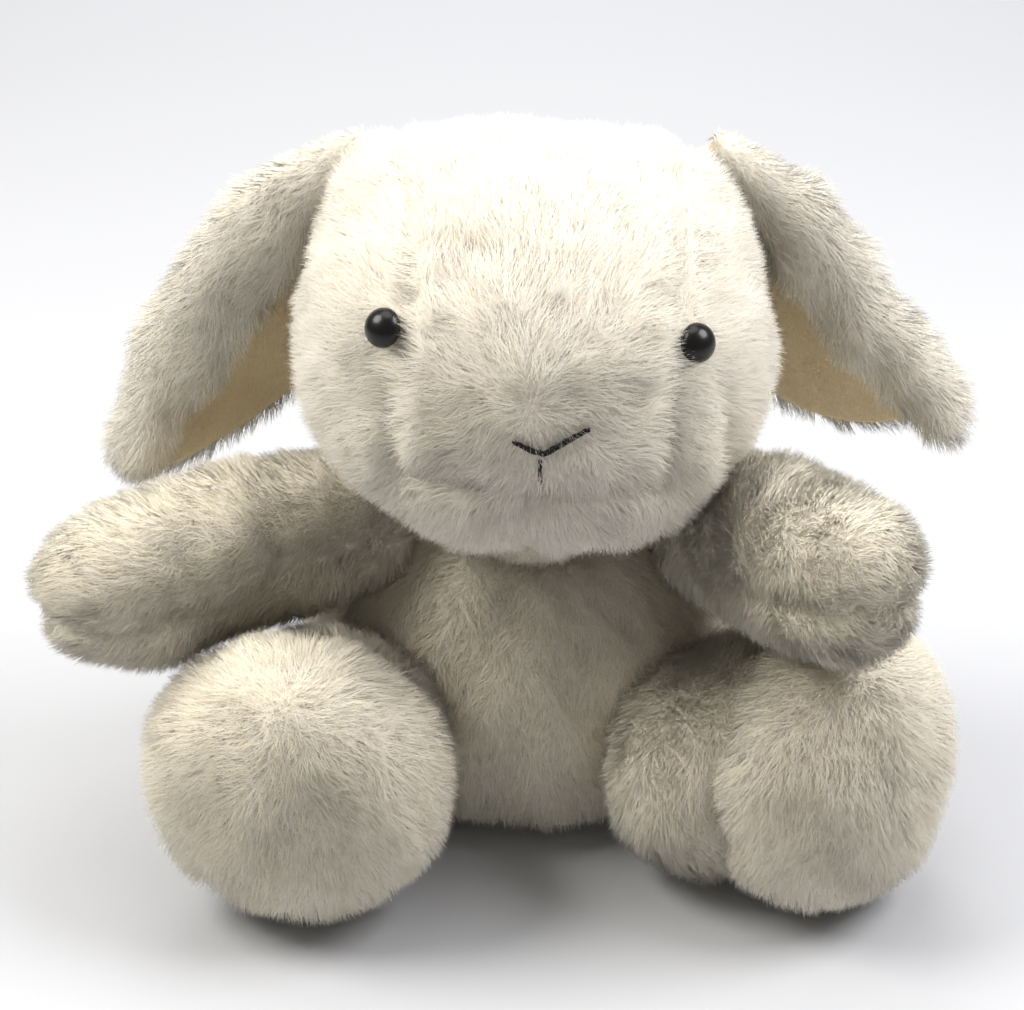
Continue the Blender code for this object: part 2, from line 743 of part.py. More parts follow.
for word, ear in (("right", EAR_RIGHT), ("left", EAR_LEFT)):
    ear_sheet(f"ear_outer_{word}", ear, 0.0, EAR_THICKNESS, CREAM)
    ear_sheet(f"ear_lining_{word}", ear, EAR_THICKNESS + EAR_LAYER_GAP, LINING, GOLDEN_BEIGE)

# ---------------------------------------------------------------- joints
EAR_HINGE_DROP = 0.008  # the hinge line runs this far below the ridge, inside the fold


def hang(name, pivot, axis, pieces, parent=None):
    """Parents pieces to an empty on their joint's pivot, with its Z along the axis."""
    across = Vector((1, 0, 0)) if abs(axis.x) < 0.9 else Vector((0, 1, 0))
    place = frame(pivot, axis, across)
    joint = bpy.data.objects.new(name, None)
    joint.empty_display_size = 0.03
    rabbit.objects.link(joint)
    joint.matrix_world = place
    if parent:
        joint.parent = parent
        joint.matrix_parent_inverse = parent.matrix_basis.inverted()
    for piece in pieces:
        hung = bpy.data.objects[piece]
        hung.parent = joint
        hung.matrix_parent_inverse = place.inverted()
    return joint


across = Vector((1, 0, 0))
neck = hang("head_turn_pivot", NECK_CENTRE, up, ["neck_stuffing"])
head_pieces = [piece.name for piece in head_panels] + ["head_stuffing", "nose_stitch", "mouth_stitch"]
head_pieces += [f"{piece}_{word}" for piece in ("eye", "eye_washer") for word in ("right", "left")]
skull = hang("head_nod_pivot", NECK_CENTRE, across, head_pieces, neck)
for word, ear, side in (("right", EAR_RIGHT, -1), ("left", EAR_LEFT, 1)):
    ridge, front_way, up_way = ear[:3]
    root = ridge[0] - up_way * EAR_HINGE_DROP
    layers = [f"ear_outer_{word}", f"ear_lining_{word}"]
    hang(f"ear_pivot_{word}", root, front_way * side, layers, skull)
for word, side, _, arm_axis, _ in SIDES:
    shoulder = Vector((side * SHOULDER.x, SHOULDER.y, SHOULDER.z))
    arm_pieces = [f"arm_{piece}_{word}" for piece in ("upper_panel", "under_panel", "stuffing")]
    hang(f"arm_pivot_{word}", shoulder, arm_axis, arm_pieces)
    hip = Vector((side * HIP.x, HIP.y, HIP.z))
    leg_pieces = [f"leg_panel_{word}", f"foot_sole_panel_{word}", f"leg_stuffing_{word}"]
    hang(f"leg_pivot_{word}", hip, LEG_AXIS * -side, leg_pieces)

# Only cutters and the finished pieces are left as objects.
for helper in guides.all_objects:
    helper.hide_render = True
    helper.display_type = "WIRE"
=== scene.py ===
"""The looks of a seated plush rabbit with lop ears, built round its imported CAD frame.

Every stuffed part gets a skin: the hull of its CAD panels, remeshed, blown up by cloth
simulation between its seams, and sculpted. The pile on it is real geometry, one tapered
three-sided hair at a time, combed by a flow of its own for each part.
"""

import json
import math

import bmesh
import bpy
import numpy as np
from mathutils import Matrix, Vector
from mathutils.bvhtree import BVHTree
from mathutils.kdtree import KDTree


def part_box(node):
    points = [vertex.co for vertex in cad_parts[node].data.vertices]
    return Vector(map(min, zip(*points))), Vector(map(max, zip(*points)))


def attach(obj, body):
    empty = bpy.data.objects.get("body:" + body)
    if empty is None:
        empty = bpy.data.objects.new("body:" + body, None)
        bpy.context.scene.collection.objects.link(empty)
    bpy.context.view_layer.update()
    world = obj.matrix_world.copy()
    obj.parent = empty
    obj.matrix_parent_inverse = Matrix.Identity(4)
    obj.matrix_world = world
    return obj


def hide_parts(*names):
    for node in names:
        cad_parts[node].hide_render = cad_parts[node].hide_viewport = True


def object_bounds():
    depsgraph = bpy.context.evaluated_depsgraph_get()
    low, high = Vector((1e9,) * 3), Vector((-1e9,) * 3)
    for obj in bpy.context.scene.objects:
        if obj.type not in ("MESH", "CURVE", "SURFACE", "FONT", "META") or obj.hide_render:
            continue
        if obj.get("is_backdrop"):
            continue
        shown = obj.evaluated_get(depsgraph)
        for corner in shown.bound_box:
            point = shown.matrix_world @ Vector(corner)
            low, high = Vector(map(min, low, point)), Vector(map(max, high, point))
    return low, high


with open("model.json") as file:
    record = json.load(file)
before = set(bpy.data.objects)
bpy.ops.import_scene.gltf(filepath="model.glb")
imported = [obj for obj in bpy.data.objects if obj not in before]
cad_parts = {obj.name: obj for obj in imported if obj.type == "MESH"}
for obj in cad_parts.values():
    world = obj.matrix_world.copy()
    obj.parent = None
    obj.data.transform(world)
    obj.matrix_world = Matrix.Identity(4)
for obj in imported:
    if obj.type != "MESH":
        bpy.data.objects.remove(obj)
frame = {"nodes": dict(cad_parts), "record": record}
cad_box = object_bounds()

SIDES = ("right", "left")  # the rabbit's own

# ---------------------------------------------------------------- sizes, in metres
VOXEL = 0.0042  # side of the cells that a skin is remeshed in
SKIN_DEPTH = 0.0018  # the backing cloth lies this far below the CAD surface
SEAM_DEPTH = 0.0022  # a seam draws the cloth in by this much more
SEAM_WIDTH = 0.0035
SEWN_WIDTH = 0.004  # the cloth simulation holds the skin this near to its seams
CLOTH_REACH = 0.0035  # the furthest that the cloth simulation moves a point
CLOTH_STEPS = 20
FLOOR_GAP = 0.0003
NO_SEAM = 1.0  # distance to the nearest seam on a piece that has none
PILE_LENGTH = 0.0076
EAR_PILE = 0.0084
LINING_PILE = 0.0022
NECK_PILE = 0.004
SHORTEST_HAIR = 0.0009
HAIR_WIDTH = 0.00027
HAIRS_PER_M2 = 2.1e6
HAIRS_IN_A_TUFT = 26

# ---------------------------------------------------------------- how a hair stands
LEAN = 36  # degrees from upright, for its lower half
CURL = math.radians(34)  # its upper half leans this much further
SWIRL = math.radians(22)  # how far whole patches turn from the flow
STRAY = math.radians(24)  # how far single hairs turn from the flow
GATHER = 0.45  # how strongly hairs draw to the leader of their tuft

# ---------------------------------------------------------------- materials


def shader_of(name, colour, roughness, specular=0.3):
    made = bpy.data.materials.new(name)
    made.use_nodes = True
    shader = made.node_tree.nodes["Principled BSDF"]
    shader.inputs["Base Color"].default_value = (*colour, 1)
    shader.inputs["Roughness"].default_value = roughness
    shader.inputs["Specular IOR Level"].default_value = specular
    made.diffuse_color = (*colour, 1)
    return made, shader


def hair_material(name, colour):
    """One tint of the pile. The tints of neighbouring hairs make its colour variation."""
    made, shader = shader_of(name, colour, 0.75, 0.12)
    shader.inputs["Sheen Weight"].default_value = 0.25
    shader.inputs["Sheen Roughness"].default_value = 0.5
    return made


def cloth_material(name, colour, shade, scale, roughness=0.9):
    """Knitted or felted cloth: two shades of a colour in a fine noise, with its bump."""
    made, shader = shader_of(name, colour, roughness, 0.15)
    nodes, links = made.node_tree.nodes, made.node_tree.links
    place = nodes.new("ShaderNodeTexCoord")
    grain = nodes.new("ShaderNodeTexNoise")
    grain.inputs["Scale"].default_value = scale
    grain.inputs["Detail"].default_value = 4
    tones = nodes.new("ShaderNodeValToRGB")
    tones.color_ramp.elements[0].color = (*(c * shade for c in colour), 1)
    tones.color_ramp.elements[1].color = (*colour, 1)
    bump = nodes.new("ShaderNodeBump")
    bump.inputs["Strength"].default_value = 0.4
    bump.inputs["Distance"].default_value = 0.0006
    links.new(place.outputs["Object"], grain.inputs["Vector"])
    links.new(grain.outputs["Fac"], tones.inputs["Fac"])
    links.new(tones.outputs["Color"], shader.inputs["Base Color"])
    links.new(grain.outputs["Fac"], bump.inputs["Height"])
    links.new(bump.outputs["Normal"], shader.inputs["Normal"])
    return made


def tints_of(name, colours):
    return [hair_material(f"pile_{name}_{k}", colour) for k, colour in enumerate(colours)]


HEAD_TINTS = tints_of(
    "head", ((0.93, 0.88, 0.78), (0.91, 0.85, 0.73), (0.95, 0.92, 0.84), (0.89, 0.82, 0.68))
)
CREAM_TINTS = tints_of(
    "cream", ((0.93, 0.87, 0.73), (0.91, 0.84, 0.68), (0.95, 0.90, 0.79), (0.90, 0.81, 0.63))
)
LINING_TINTS = tints_of("lining", ((0.94, 0.80, 0.55), (0.91, 0.76, 0.50), (0.95, 0.84, 0.62)))
BACKING = cloth_material("cream_backing_cloth", (0.84, 0.78, 0.67), 0.85, 900)
LINING_CLOTH = cloth_material("lining_cloth", (0.84, 0.70, 0.46), 0.85, 700)
PELLET_CLOTH = cloth_material("pellet_bag_cloth", (0.80, 0.77, 0.70), 0.8, 1400)
WASHER = cloth_material("washer_plastic", (0.84, 0.79, 0.69), 0.95, 300, 0.6)
THREAD = cloth_material("embroidery_thread", (0.030, 0.026, 0.026), 0.45, 2500, 0.6)
EYE_GLOSS, eye_shader = shader_of("black_eye_plastic", (0.006, 0.005, 0.005), 0.30, 0.3)
eye_shader.inputs["Coat Weight"].default_value = 0.15
eye_shader.inputs["Coat Roughness"].default_value = 0.1


# ---------------------------------------------------------------- arrays and noise
def arrays_of(mesh):
    """The mesh's points, point normals and triangles."""
    mesh.calc_loop_triangles()
    points = np.empty(len(mesh.vertices) * 3, np.float32)
    mesh.vertices.foreach_get("co", points)
    normals = np.empty(len(mesh.vertices) * 3, np.float32)
    mesh.vertices.foreach_get("normal", normals)
    corners = np.empty(len(mesh.loop_triangles) * 3, np.int32)
    mesh.loop_triangles.foreach_get("vertices", corners)
    shape = (-1, 3)
    points, normals = (values.reshape(shape).astype(float) for values in (points, normals))
    return points, normals, corners.reshape(shape)


def unit(vectors):
    return vectors / np.maximum(np.linalg.norm(vectors, axis=-1, keepdims=True), 1e-9)


def waves(points, size, seed, count=14):
    """A smooth random field, about -1 to 1, whose bumps are about this size across."""
    rng = np.random.default_rng(seed)
    ways = unit(rng.normal(size=(count, 3))) * rng.uniform(0.6, 1.5, (count, 1))
    phases = rng.uniform(0, 2 * math.pi, count)
    return np.sin(points @ ways.T * (math.pi / size) + phases).sum(axis=1) / count**0.5


def bump(distance, width):
    """1 at no distance, falling to 0 over a few widths."""
    return np.exp(-((distance / width) ** 2))


def box_of(*names):
    """The corners of the box round these CAD nodes."""
    corners = [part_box(name) for name in names]
    low = np.min([np.array(c[0]) for c in corners], axis=0)
    high = np.max([np.array(c[1]) for c in corners], axis=0)
    return low, high


def middle_of(*names):
    low, high = box_of(*names)
    return (low + high) / 2


def joint_place(name):
    """The joint's point, from the record."""
    found = [j for j in frame["record"]["behaviour"]["joints"] if j["name"] == name]
    return np.array(found[0]["pos_m"])


# ---------------------------------------------------------------- skins
def tree_of(name):
    mesh = frame["nodes"][name].data
    return BVHTree.FromPolygons(
        [v.co.copy() for v in mesh.vertices], [tuple(p.vertices) for p in mesh.polygons]
    )


def distances(points, names):
    """How far each point is from each of these CAD nodes, one column a node."""
    trees = [tree_of(name) for name in names]
    return np.array([[tree.find_nearest(Vector(p))[3] for tree in trees] for p in points])


def seams(points, panels):
    """For each point, the panel that it lies on, and how far it is from the nearest seam."""
    if len(panels) == 1:
        return np.zeros(len(points), int), np.full(len(points), NO_SEAM)
    away = distances(points, panels)
    ordered = np.sort(away, axis=1)
    return away.argmin(axis=1), ordered[:, 1] - ordered[:, 0]


def object_of(name, mesh):
    made = bpy.data.objects.new(name, mesh)
    bpy.context.scene.collection.objects.link(made)
    return made


def applied(obj):
    """Applies the object's modifiers to its mesh."""
    bpy.context.view_layer.update()
    graph = bpy.context.evaluated_depsgraph_get()
    mesh = bpy.data.meshes.new_from_object(obj.evaluated_get(graph))
    obj.modifiers.clear()
    old, obj.data = obj.data, mesh
    bpy.data.meshes.remove(old)


def hulls(name, groups):
    """An object of the convex hulls of these groups of CAD nodes."""
    work = bmesh.new()
    for group in groups:
        nodes = [frame["nodes"][node].data for node in group]
        places = sorted({tuple(v.co) for mesh in nodes for v in mesh.vertices})
        points = [work.verts.new(place) for place in places]
        bmesh.ops.convex_hull(work, input=points)
        inside = [v for v in points if v.is_valid and not v.link_faces]
        bmesh.ops.delete(work, geom=inside, context="VERTS")
    mesh = bpy.data.meshes.new(name)
    work.to_mesh(mesh)
    work.free()
    return object_of(name, mesh)


def inflate(obj, seam):
    """Blows the skin up between its seams with Blender's cloth.

    The skin keeps its mean size: it draws in at the seams and fills out between them.
    """
    before, normals, _ = arrays_of(obj.data)
    sewn = obj.vertex_groups.new(name="sewn")
    for index, weight in enumerate(bump(seam, SEWN_WIDTH)):
        sewn.add([index], float(weight), "REPLACE")
    cloth = obj.modifiers.new("Stuffing", "CLOTH")
    settings = cloth.settings
    settings.vertex_group_mass = "sewn"
    settings.use_pressure = True
    settings.uniform_pressure_force = 4
    settings.effector_weights.gravity = 0
    cloth.collision_settings.use_collision = False
    for step in range(1, CLOTH_STEPS + 1):
        bpy.context.scene.frame_set(step)
    bpy.context.view_layer.update()
    graph = bpy.context.evaluated_depsgraph_get()
    blown = arrays_of(obj.evaluated_get(graph).data)[0]
    obj.modifiers.clear()
    moved = blown - before
    far = np.linalg.norm(moved, axis=1, keepdims=True)
    moved *= np.minimum(1, CLOTH_REACH / np.maximum(far, 1e-9))
    moved -= normals * (moved * normals).sum(axis=1).mean()
    obj.data.vertices.foreach_set("co", (before + moved).astype(np.float32).ravel())
    obj.data.update()
    bpy.context.scene.frame_set(1)


class Skin:
    """A stuffed skin: its object, and the arrays that the pile grows from."""

    def __init__(self, name, body, groups, panels, sculpt):
        self.body = body
        self.object = hulls(name, groups)
        remesh = self.object.modifiers.new("Even", "REMESH")
        remesh.mode = "VOXEL"
        remesh.voxel_size = VOXEL
        soften = self.object.modifiers.new("Soften", "SMOOTH")
        soften.factor = 0.5
        soften.iterations = 4
        applied(self.object)
        _, seam = seams(arrays_of(self.object.data)[0], panels)
        inflate(self.object, seam)
        finer = self.object.modifiers.new("Finer", "SUBSURF")
        finer.levels = finer.render_levels = 1
        applied(self.object)
        points, normals, _ = arrays_of(self.object.data)
        self.label, self.seam = seams(points, panels)
        depth = SKIN_DEPTH + SEAM_DEPTH * bump(self.seam, SEAM_WIDTH)
        points = points - normals * depth[:, None]
        points = points + normals * sculpt(points, normals)[:, None]
        points[:, 2] = np.maximum(points[:, 2], FLOOR_GAP)
        mesh = self.object.data
        mesh.vertices.foreach_set("co", points.astype(np.float32).ravel())
        mesh.update()
        mesh.shade_smooth()
        mesh.materials.clear()
        mesh.materials.append(BACKING)
        self.points, self.normals, self.corners = arrays_of(mesh)
        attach(self.object, body)


# ---------------------------------------------------------------- pile
def grow(
    name, skin, on, flow, tints, seed, length=PILE_LENGTH, pile=None, stand=None,
    density=HAIRS_PER_M2, width=HAIR_WIDTH, lean=LEAN, gather=GATHER,
):
    """Grows a piece of pile on the points of a skin where on is true.

    flow gives the way that the hairs are combed, pile their share of the full length, and
    stand how upright they are, from 0 to 1. lean is in degrees.
    """
    rng = np.random.default_rng(seed)
    corners = skin.corners[on[skin.corners].sum(axis=1) >= 2]
    a, b, c = (skin.points[corners[:, k]] for k in range(3))
    area = np.linalg.norm(np.cross(b - a, c - a), axis=1) / 2
    count = np.floor(area * density + rng.random(len(area))).astype(int)
    pick = np.repeat(np.arange(len(corners)), count)
    u, v = rng.random((2, len(pick)))
    fold = u + v > 1
    u[fold], v[fold] = 1 - u[fold], 1 - v[fold]
    shares = np.stack([1 - u - v, u, v], axis=1)[:, :, None]
    root = (skin.points[corners[pick]] * shares).sum(axis=1)
    normal = unit((skin.normals[corners[pick]] * shares).sum(axis=1))
    size = length * rng.uniform(0.78, 1.12, len(root))
    if pile is not None:
        size = size * pile(root)
    seam = (skin.seam[corners[pick]] * shares[:, :, 0]).sum(axis=1)
    size = size * (1 - 0.28 * bump(seam, 0.0028))
    grown = size > SHORTEST_HAIR
    root, normal, size = root[grown], normal[grown], size[grown]

    combed = flow(root, normal)
    combed = combed + 0.05 * rng.normal(size=combed.shape)
    combed = unit(combed - (combed * normal).sum(axis=1)[:, None] * normal)
    side = np.cross(normal, combed)
    turn = SWIRL * waves(root, 0.011, 11) + STRAY * rng.normal(size=len(root))
    turn = (turn + 0.5 * SWIRL * waves(root, 0.005, 12))[:, None]
    combed = combed * np.cos(turn) + side * np.sin(turn)
    side = np.cross(normal, combed)
    low = math.radians(lean) + math.radians(6) * waves(root, 0.009, 13)
    low = low + math.radians(7) * rng.normal(size=len(root))
    if stand is not None:
        low = low * (1 - stand(root))
    low = np.clip(low, 0.05, 1.4)[:, None]
    high = np.clip(low + CURL, 0.1, 1.5)
    start = normal * np.cos(low) + combed * np.sin(low)
    end = normal * np.cos(high) + combed * np.sin(high)
    knee = root + start * size[:, None] * 0.5
    tip = knee + end * size[:, None] * 0.5

    # hairs lean towards the leader of their tuft
    leaders = rng.choice(len(root), max(1, len(root) // HAIRS_IN_A_TUFT), replace=False)
    tree = KDTree(len(leaders))
    for index, leader in enumerate(leaders):
        tree.insert(root[leader], index)
    tree.balance()
    own = leaders[[tree.find(Vector(p))[1] for p in root]]
    pull = (gather * rng.uniform(0.3, 1.0, len(root)))[:, None]
    tip = tip + (tip[own] + 0.35 * (root - root[own]) - tip) * pull
    knee = knee + (knee[own] + 0.75 * (root - root[own]) - knee) * pull * 0.6
    for places in (knee, tip):
        lowest = 0.0005 + 0.0006 * rng.random(len(places))
        places[:, 2] = np.maximum(places[:, 2], lowest)

    # three corners round the root, and the tip
    spin = rng.uniform(0, 2 * math.pi, len(root))
    thick = (width / 2 * rng.uniform(0.75, 1.25, len(root)))[:, None]
    start = unit(tip - root)
    across = np.cross(start, side)
    places = np.empty((len(root), 4, 3))
    facing = np.empty((len(root), 4, 3))
    for corner in range(3):
        angle = (spin + corner * 2 * math.pi / 3)[:, None]
        out = side * np.cos(angle) + across * np.sin(angle)
        places[:, corner] = root - normal * 0.0004 + out * thick
        facing[:, corner] = unit(normal + out * 0.14)
    places[:, 3] = tip
    facing[:, 3] = unit(normal + start * 0.25)
    pattern = [0, 1, 3, 1, 2, 3, 2, 0, 3]
    loops = (np.arange(len(root))[:, None] * 4 + np.array(pattern)).ravel()
    starts = np.arange(0, len(loops), 3)
    mesh = bpy.data.meshes.new(name)
    mesh.vertices.add(places.size // 3)
    mesh.vertices.foreach_set("co", places.astype(np.float32).ravel())
    mesh.loops.add(len(loops))
    mesh.loops.foreach_set("vertex_index", loops.astype(np.int32))
    mesh.polygons.add(len(starts))
    mesh.polygons.foreach_set("loop_start", starts.astype(np.int32))
    tint = rng.integers(0, len(tints), len(root))
    index = np.stack([tint] * 3, axis=1)
    mesh.polygons.foreach_set("material_index", index.ravel().astype(np.int32))
    for one in tints:
        mesh.materials.append(one)
    mesh.update(calc_edges=True)
    mesh.shade_smooth()
    mesh.normals_split_custom_set_from_vertices(facing.reshape(-1, 3))
    piece = object_of(name, mesh)
    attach(piece, skin.body)


def away_from(target, fall):
    """A flow that runs away from a point, and falls by this share."""
    return lambda points, normals: unit(points - np.asarray(target)) + np.array((0, 0, -fall))


# ---------------------------------------------------------------- head
HEAD_PANELS = ["head_forehead_panel", "head_cheek_panel_right", "head_cheek_panel_left"]
eyes = {word: middle_of(f"eye_{word}") for word in SIDES}
nose = middle_of("nose_stitch")
face_left = unit(eyes["left"] - eyes["right"])
face_up = unit(np.cross((0, -1, 0), face_left))
head_low, head_high = box_of(*HEAD_PANELS)
ear_roots = {word: joint_place(f"ear_lift_{word}") for word in SIDES}


def on_face(points):
    """Places across the face, up it, and in front of its middle, measured from the nose."""
    off = points - nose
    return off @ face_left, off @ face_up, -(points[:, 1] - (head_low[1] + head_high[1]) / 2)


CREASES = (-0.046, 0.049)  # across the face to the folds beside the muzzle
CHIN_HALF = 0.024
FACE_DEPTH = 0.02  # in front of the head's middle by this much is the face
EAR_SWELL = np.array((0, -0.008, 0.002))  # from an ear's root to where the crown swells


def sculpt_head(points, normals):
    """How far the skin stands out from the hull of its panels, for each point."""
    across, rise, front = on_face(points)
    ahead = np.clip(front / FACE_DEPTH, 0, 1)
    # the muzzle, a chin on each side of the middle, the folds, and the dimple of the mouth
    out = 0.0030 * bump(np.hypot(across / 1.9, rise + 0.010), 0.016) * ahead
    for place in (-CHIN_HALF, CHIN_HALF):
        out += 0.0030 * bump(np.hypot(across - place, rise + 0.034), 0.013) * ahead
    for place in CREASES:
        crease = bump(across - place + 0.15 * rise, 0.0035) * bump(rise + 0.004, 0.017)
        out -= 0.0034 * crease * ahead
    out -= 0.0016 * bump(np.hypot(across, (rise + 0.017) / 1.6), 0.005) * ahead
    # the rims of the eyes, the swellings before the ears, and a higher crown
    for word in SIDES:
        out += 0.0009 * bump(np.linalg.norm(points - eyes[word], axis=1), 0.009)
        swell = ear_roots[word] + EAR_SWELL
        out += 0.0150 * bump(np.linalg.norm(points - swell, axis=1), 0.025)
    out += 0.0030 * np.clip(normals[:, 2] - 0.3, 0, 0.4) / 0.4
    out += 0.0008 * waves(points, 0.017, 21) + 0.0004 * waves(points, 0.008, 22)
    return out


whorl = nose + 0.009 * face_up - 0.005 * face_left  # the face's hairs run out from here
FACE_SEAM = 0.038  # from the middle of the face to the seams beside the forehead


def pile_of_head(points):
    """The pile is short round the nose and mouth, and stops at the eyes."""
    near = np.ones(len(points))
    for word in SIDES:
        gone = np.linalg.norm(points - eyes[word], axis=1)
        rim = np.clip((gone - 0.0043) / 0.001, 0, 1)
        near *= 0.8 * rim + 0.2 * np.clip((gone - 0.005) / 0.006, 0, 1)
    across, rise, front = on_face(points)
    to_threads = np.where(front > FACE_DEPTH, np.hypot(across / 1.4, rise + 0.003), 1.0)
    return near * (0.45 + 0.55 * np.clip(to_threads / 0.012, 0, 1))


def comb_head(points, normals):
    """Away from the whorl, parted at the forehead's seams and on the outer side of each eye."""
    way = unit(points - whorl) + np.array((0, 0, -0.25))
    across, rise, _ = on_face(points)
    for place in (-FACE_SEAM, FACE_SEAM):
        off = across - place
        parting = np.sign(off) * bump(off, 0.006) * np.clip((rise - 0.004) / 0.02, 0, 1)
        way = way + parting[:, None] * face_left
    for word in SIDES:
        off = points - eyes[word]
        outer = off @ face_left * np.sign((eyes[word] - nose) @ face_left) > -0.001
        way = way + unit(off) * (0.7 * outer * bump(np.linalg.norm(off, axis=1), 0.012))[:, None]
    return way


def stand_of_head(points):
    """The pile stands up round the eyes."""
    upright = np.zeros(len(points))
    for word in SIDES:
        upright += 0.45 * bump(np.linalg.norm(points - eyes[word], axis=1), 0.012)
    return np.clip(upright, 0, 0.8)


head = Skin("head_skin", "head", [HEAD_PANELS], HEAD_PANELS, sculpt_head)
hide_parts(*HEAD_PANELS, "head_stuffing")
# near the eyes the pile keeps its length over the seams
for word in SIDES:
    head.seam = head.seam + 0.02 * bump(np.linalg.norm(head.points - eyes[word], axis=1), 0.02)
for index, word in enumerate(("forehead", "cheek_right", "cheek_left")):
    grow(
        f"pile_{word}", head, head.label == index, comb_head, HEAD_TINTS,
        pile=pile_of_head, stand=stand_of_head, seed=31 + index,
    )

# ---------------------------------------------------------------- nose and mouth
def corner_of(node, way):
    """The node's point that is furthest this way."""
    points = arrays_of(frame["nodes"][node].data)[0]
    return points[(points @ np.asarray(way)).argmax()]


THREAD_STEPS = 18


def thread(name, node, ends, strands, spread, radius, height):
    """A bundle of twisted threads along a line of places, laid on the face of the head."""
    tree = BVHTree.FromPolygons([Vector(p) for p in head.points], head.corners.tolist())
    line = bpy.data.curves.new(name, "CURVE")
    line.dimensions = "3D"
    line.bevel_depth = radius
    line.bevel_resolution = 2
    line.use_fill_caps = True
    steps = THREAD_STEPS
    for strand in range(strands):
        spline = line.splines.new("POLY")
        spline.points.add(steps)
        for k in range(steps + 1):
            share = k / steps * (len(ends) - 1)
            piece = min(int(share), len(ends) - 2)
            place = ends[piece] + (ends[piece + 1] - ends[piece]) * (share - piece)
            before = Vector((place[0], -0.3, place[2]))
            found, normal, _, _ = tree.ray_cast(before, Vector((0, 1, 0)))
            turn = 2 * math.pi * strand / strands + k * 0.55
            rim = spread * (0.75 + 0.25 * math.sin(k * 1.3 + strand))
            off = (face_left * math.cos(turn) + face_up * math.sin(turn)) * rim
            out = height + 0.4 * spread * math.sin(turn)
            spline.points[k].co = (*(found + normal * out + Vector(off)), 1)
            spline.points[k].radius = 0.75 + 0.25 * math.sin(math.pi * k / steps)
    piece = object_of(name, line)
    line.materials.append(THREAD)
    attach(piece, "head")
    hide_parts(node)


nose_left = corner_of("nose_stitch", face_left)
nose_right = corner_of("nose_stitch", -face_left)
nose_tip = corner_of("nose_stitch", -face_up)
thread(
    "nose_thread", "nose_stitch", [nose_right, nose_tip, nose_left],
    strands=5, spread=0.0008, radius=0.00042, height=0.0016,
)
mouth_top = corner_of("mouth_stitch", face_up)
mouth_low = corner_of("mouth_stitch", -face_up)
thread(
    "mouth_thread", "mouth_stitch", [mouth_top, mouth_low],
    strands=3, spread=0.0004, radius=0.0003, height=0.0006,
)

# ---------------------------------------------------------------- body and tail
BODY_PANELS = ["body_front_panel", "body_back_panel", "body_base_panel"]
ARM_FULLNESS = 0.0075
FOOT_FULLNESS = 0.0022


def soft_lumps(points, normals):
    """The unevenness of a filling of loose fibre."""
    return 0.0008 * waves(points, 0.016, 23) + 0.0004 * waves(points, 0.008, 24)


def full_shoulders(points, normals):
    """An arm is plumper on top than its CAD panels."""
    return soft_lumps(points, normals) + ARM_FULLNESS * np.clip(normals[:, 2], 0, 1)


def full_feet(points, normals):
    """A leg and its sole are plumper than their CAD panels."""
    return soft_lumps(points, normals) + FOOT_FULLNESS


def comb_down(points, normals):
    return np.tile((0.0, 0.0, -1.0), (len(points), 1)) + 0.3 * normals * (1, 1, 0)


trunk = Skin("body_skin", "torso", [BODY_PANELS], BODY_PANELS, soft_lumps)
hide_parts(*BODY_PANELS, "body_stuffing")
# the pile under the seat is short and thin
BODY_PILE = (("body_front", 1.0, 0.85), ("body_back", 1.0, 0.85), ("body_base", 0.35, 0.5))
for index, (word, share, thickness) in enumerate(BODY_PILE):
    grow(
        f"pile_{word}", trunk, trunk.label == index, comb_down, CREAM_TINTS,
        length=PILE_LENGTH * share, density=HAIRS_PER_M2 * thickness, seed=41 + index,
    )

neck = Skin("neck_skin", "neck", [["neck_stuffing"]], ["neck_stuffing"], soft_lumps)
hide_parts("neck_stuffing")
grow(
    "pile_neck", neck, np.ones(len(neck.points), bool), comb_down, CREAM_TINTS,
    length=NECK_PILE, density=1.2e6, seed=44,
)

tail = Skin("tail_fur_skin", "torso", [["tail_skin"]], ["tail_skin"], soft_lumps)
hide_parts("tail_skin", "tail_stuffing")
body_middle = middle_of("body_back_panel")
grow(
    "pile_tail", tail, np.ones(len(tail.points), bool), away_from(body_middle, 0.2), CREAM_TINTS,
    length=PILE_LENGTH * 1.15, lean=30, seed=45,
)

# ---------------------------------------------------------------- arms and legs
for word in SIDES:
    panels = [f"arm_upper_panel_{word}", f"arm_under_panel_{word}"]
    shoulder = joint_place(f"arm_swing_{word}")
    arm = Skin(f"arm_skin_{word}", f"arm_{word}", [panels], panels, full_shoulders)
    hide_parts(*panels, f"arm_stuffing_{word}")
    for index, half in enumerate(("upper", "under")):
        grow(
            f"pile_arm_{half}_{word}", arm, arm.label == index, away_from(shoulder, 0.1),
            CREAM_TINTS, seed=51 + index,
        )

    panels = [f"leg_panel_{word}", f"foot_sole_panel_{word}"]
    hip = joint_place(f"leg_swing_{word}")
    sole = middle_of(panels[1])
    leg = Skin(f"leg_skin_{word}", f"leg_{word}", [[panels[0]], [panels[1]]], panels, full_feet)
    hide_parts(*panels, f"leg_stuffing_{word}")
    flows = (away_from(hip, 0.2), away_from(sole, 0.6))
    for index, part in enumerate(("leg", "sole")):
        grow(
            f"pile_{part}_{word}", leg, leg.label == index, flows[index], CREAM_TINTS,
            seed=61 + index,
        )


